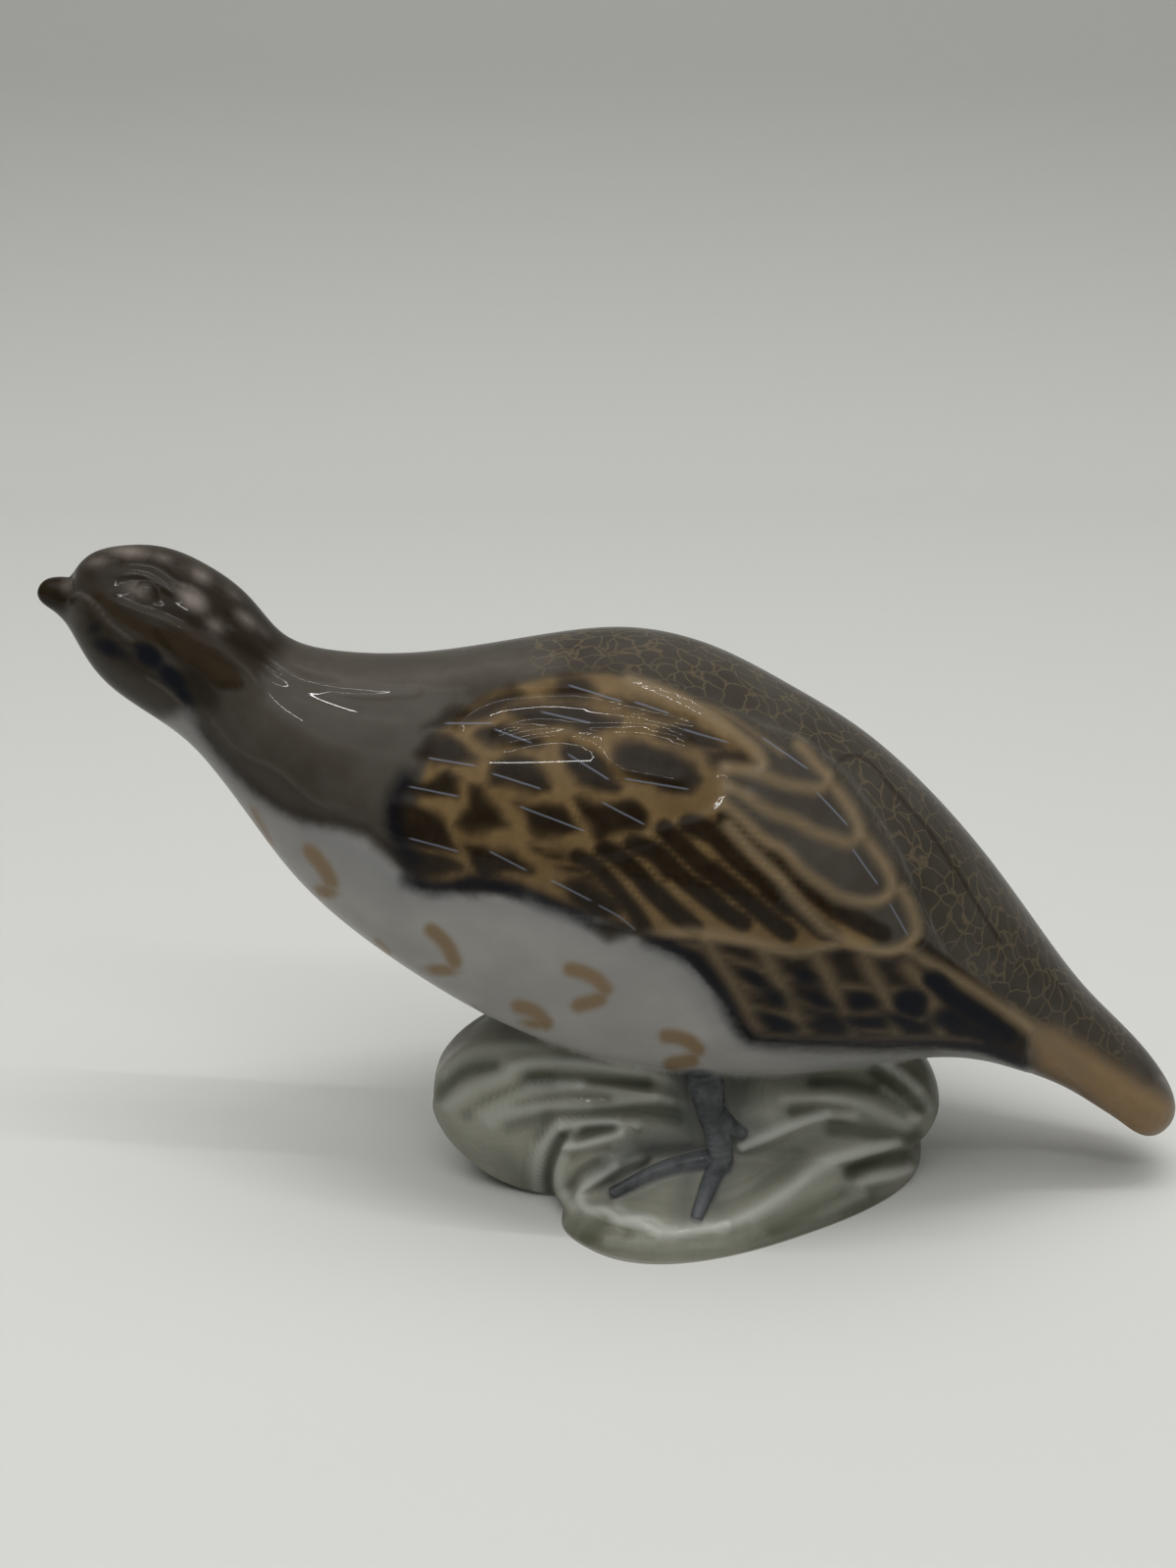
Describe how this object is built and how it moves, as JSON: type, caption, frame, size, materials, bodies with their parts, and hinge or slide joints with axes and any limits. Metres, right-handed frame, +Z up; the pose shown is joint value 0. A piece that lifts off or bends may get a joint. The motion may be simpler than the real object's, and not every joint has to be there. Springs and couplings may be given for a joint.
{
  "type": "partridge figurine",
  "caption": "Glazed porcelain figurine of a partridge leaning forward on a folded rock, hollow, with a flat foot rim to stand on.",
  "frame": {"origin": "bottom centre of the figurine's bounding box, on the surface it stands on", "axes": "+Z up, the bird looks along -X with its tail at +X, its near flank faces -Y"},
  "size_m": [0.2222, 0.0802, 0.1303],
  "materials": {
    "glazed_porcelain": "underglaze painting in greys, browns and ochre under a clear high gloss glaze"
  },
  "bodies": {
    "root": {"partridge_figurine": "glazed_porcelain"}
  },
  "joints": []
}
